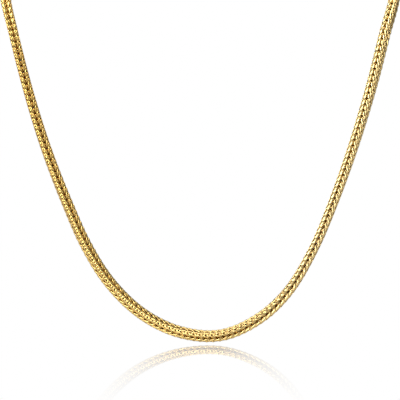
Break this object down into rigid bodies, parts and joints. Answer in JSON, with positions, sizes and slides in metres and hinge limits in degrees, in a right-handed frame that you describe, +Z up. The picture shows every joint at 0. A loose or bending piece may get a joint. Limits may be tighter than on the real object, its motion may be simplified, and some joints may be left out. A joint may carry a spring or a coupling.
{
  "type": "square woven link chain necklace",
  "caption": "Plain gold-coloured neck chain of square section, closely woven from small links, hanging as a loop, with an end cap on each end and a plain clasp at the nape.",
  "frame": {"origin": "the nape of the neck, in the middle of the clasp, where the necklace is held up", "axes": "+Z up, -Y from the nape towards the front of the chain, +X to the right as seen from the front"},
  "size_m": [0.1341, 0.075, 0.1499],
  "materials": {
    "chain": "gold-plated brass wire woven into links, polished, with dark gaps between the links",
    "fittings": "polished gold-plated brass"
  },
  "bodies": {
    "root": {"chain": "chain", "left_end_cap": "fittings", "right_end_cap": "fittings", "clasp": "fittings"}
  },
  "joints": []
}
